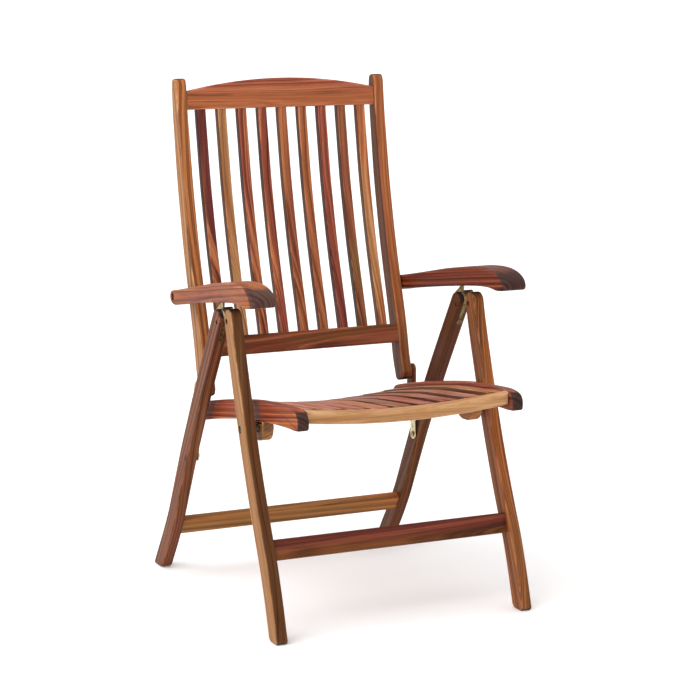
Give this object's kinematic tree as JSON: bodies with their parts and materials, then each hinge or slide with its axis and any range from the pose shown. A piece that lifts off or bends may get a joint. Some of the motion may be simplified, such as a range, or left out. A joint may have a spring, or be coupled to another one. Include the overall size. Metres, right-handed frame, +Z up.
{
  "type": "folding armchair",
  "caption": "Folding hardwood armchair with a slatted dished seat, a curved reclining slatted back, notched armrests and legs that cross under the arms.",
  "frame": {"origin": "bottom centre of the bounding box, on the floor under the seat", "axes": "+Z up, the chair faces -Y, +X is on the right of a viewer who looks along +Y at its front"},
  "size_m": [0.6224, 0.7106, 1.0839],
  "materials": {
    "wood_tan": "oiled satin",
    "wood_brown": "oiled satin",
    "wood_red": "oiled satin",
    "wood_orange": "oiled satin",
    "wood_dark": "oiled satin",
    "wood_pale": "oiled satin",
    "back_slat_wood_1": "oiled satin",
    "back_slat_wood_2": "oiled satin",
    "back_slat_wood_3": "oiled satin",
    "back_slat_wood_4": "oiled satin",
    "back_slat_wood_5": "oiled satin",
    "back_slat_wood_6": "oiled satin",
    "back_slat_wood_7": "oiled satin",
    "back_slat_wood_8": "oiled satin",
    "back_slat_wood_9": "oiled satin",
    "zinc_plate": "yellow passivated",
    "dark_steel": "dull"
  },
  "bodies": {
    "front_frame": {"front_leg_left": "wood_tan", "front_leg_right": "wood_orange", "front_stretcher": "wood_brown", "leg_hinge_front_left": "zinc_plate", "leg_hinge_front_right": "zinc_plate", "leg_hinge_pin_left": "dark_steel", "leg_hinge_pin_right": "dark_steel", "seat_pivot_bolt_left": "dark_steel", "seat_pivot_bolt_right": "dark_steel"},
    "rear_frame": {"rear_leg_left": "wood_brown", "rear_leg_right": "wood_red", "rear_stretcher": "wood_tan", "leg_hinge_rear_left": "zinc_plate", "leg_hinge_rear_right": "zinc_plate", "recline_pin_plate_left": "zinc_plate", "recline_pin_plate_right": "zinc_plate", "link_bolt_left": "zinc_plate", "link_bolt_right": "zinc_plate"},
    "link_left": {"link_strap_left": "zinc_plate"},
    "link_right": {"link_strap_right": "zinc_plate"},
    "seat": {"seat_side_rail_left": "wood_red", "seat_side_rail_right": "wood_brown", "seat_front_rail": "wood_pale", "seat_rear_rail": "wood_brown", "seat_slat_1": "wood_red", "seat_slat_2": "wood_orange", "seat_slat_3": "wood_red", "seat_slat_4": "wood_brown", "seat_slat_5": "wood_red", "seat_slat_6": "wood_orange", "seat_slat_7": "wood_red", "seat_slat_8": "wood_brown", "seat_slat_9": "wood_red", "seat_pivot_block_left": "wood_brown", "seat_pivot_block_right": "wood_brown", "back_hinge_tongue_left": "wood_dark", "back_hinge_tongue_right": "wood_dark"},
    "back_hinge": {"back_hinge_bolt_left": "dark_steel", "back_hinge_bolt_right": "dark_steel"},
    "back": {"back_stile_left": "wood_tan", "back_stile_right": "wood_brown", "back_top_rail": "wood_orange", "back_bottom_rail": "wood_brown", "back_slat_1": "back_slat_wood_1", "back_slat_2": "back_slat_wood_2", "back_slat_3": "back_slat_wood_3", "back_slat_4": "back_slat_wood_4", "back_slat_5": "back_slat_wood_5", "back_slat_6": "back_slat_wood_6", "back_slat_7": "back_slat_wood_7", "back_slat_8": "back_slat_wood_8", "back_slat_9": "back_slat_wood_9"},
    "arm_bolt_left": {"arm_pivot_bolt_left": "dark_steel"},
    "arm_bolt_right": {"arm_pivot_bolt_right": "dark_steel"},
    "arm_washer_left": {"arm_pivot_washer_left": "zinc_plate"},
    "arm_washer_right": {"arm_pivot_washer_right": "zinc_plate"},
    "arm_left": {"armrest_left": "wood_orange", "arm_rack_left": "dark_steel"},
    "arm_right": {"armrest_right": "wood_dark", "arm_rack_right": "dark_steel"}
  },
  "joints": [
    {"name": "fold", "type": "hinge", "parent": "front_frame", "child": "rear_frame", "pos_m": [0, -0.06333, 0.635], "axis": [1, 0, 0], "range_deg": [-46, 0]},
    {"name": "seat_pivot", "type": "hinge", "parent": "front_frame", "child": "seat", "pos_m": [0, -0.15433, 0.403], "axis": [1, 0, 0], "range_deg": [-86.1, 0]},
    {"name": "link_pivot_left", "type": "hinge", "parent": "rear_frame", "child": "link_left", "pos_m": [-0.261, 0.15867, 0.284], "axis": [1, 0, 0], "range_deg": [-111, 0]},
    {"name": "link_pivot_right", "type": "hinge", "parent": "rear_frame", "child": "link_right", "pos_m": [0.261, 0.15867, 0.284], "axis": [1, 0, 0], "range_deg": [-111, 0]},
    {"name": "back_fold", "type": "hinge", "parent": "seat", "child": "back_hinge", "pos_m": [0, 0.15767, 0.434], "axis": [1, 0, 0], "range_deg": [0, 88.1]},
    {"name": "recline", "type": "hinge", "parent": "back_hinge", "child": "back", "pos_m": [0, 0.15767, 0.434], "axis": [1, 0, 0], "range_deg": [-24, 0]},
    {"name": "arm_fold_left", "type": "hinge", "parent": "back", "child": "arm_bolt_left", "pos_m": [-0.265, 0.21967, 0.623], "axis": [1, 0, 0], "range_deg": [-102.1, 0]},
    {"name": "arm_follow_left", "type": "hinge", "parent": "arm_bolt_left", "child": "arm_washer_left", "pos_m": [-0.265, 0.21967, 0.623], "axis": [1, 0, 0], "range_deg": [0, 18.9]},
    {"name": "arm_lift_left", "type": "hinge", "parent": "arm_washer_left", "child": "arm_left", "pos_m": [-0.265, 0.21967, 0.623], "axis": [1, 0, 0], "range_deg": [-40, 0]},
    {"name": "arm_fold_right", "type": "hinge", "parent": "back", "child": "arm_bolt_right", "pos_m": [0.265, 0.21967, 0.623], "axis": [1, 0, 0], "range_deg": [-102.1, 0]},
    {"name": "arm_follow_right", "type": "hinge", "parent": "arm_bolt_right", "child": "arm_washer_right", "pos_m": [0.265, 0.21967, 0.623], "axis": [1, 0, 0], "range_deg": [0, 18.9]},
    {"name": "arm_lift_right", "type": "hinge", "parent": "arm_washer_right", "child": "arm_right", "pos_m": [0.265, 0.21967, 0.623], "axis": [1, 0, 0], "range_deg": [-40, 0]}
  ],
  "couplings": [
    {"joint": "seat_pivot", "follows": "fold", "ratio": 1.8705},
    {"joint": "link_pivot_left", "follows": "fold", "ratio": 2.4112},
    {"joint": "link_pivot_right", "follows": "fold", "ratio": 2.4112},
    {"joint": "back_fold", "follows": "fold", "ratio": -1.914},
    {"joint": "arm_fold_left", "follows": "fold", "ratio": 2.2174},
    {"joint": "arm_fold_right", "follows": "fold", "ratio": 2.2174},
    {"joint": "arm_follow_left", "follows": "recline", "ratio": -0.7845},
    {"joint": "arm_follow_right", "follows": "recline", "ratio": -0.7845}
  ]
}
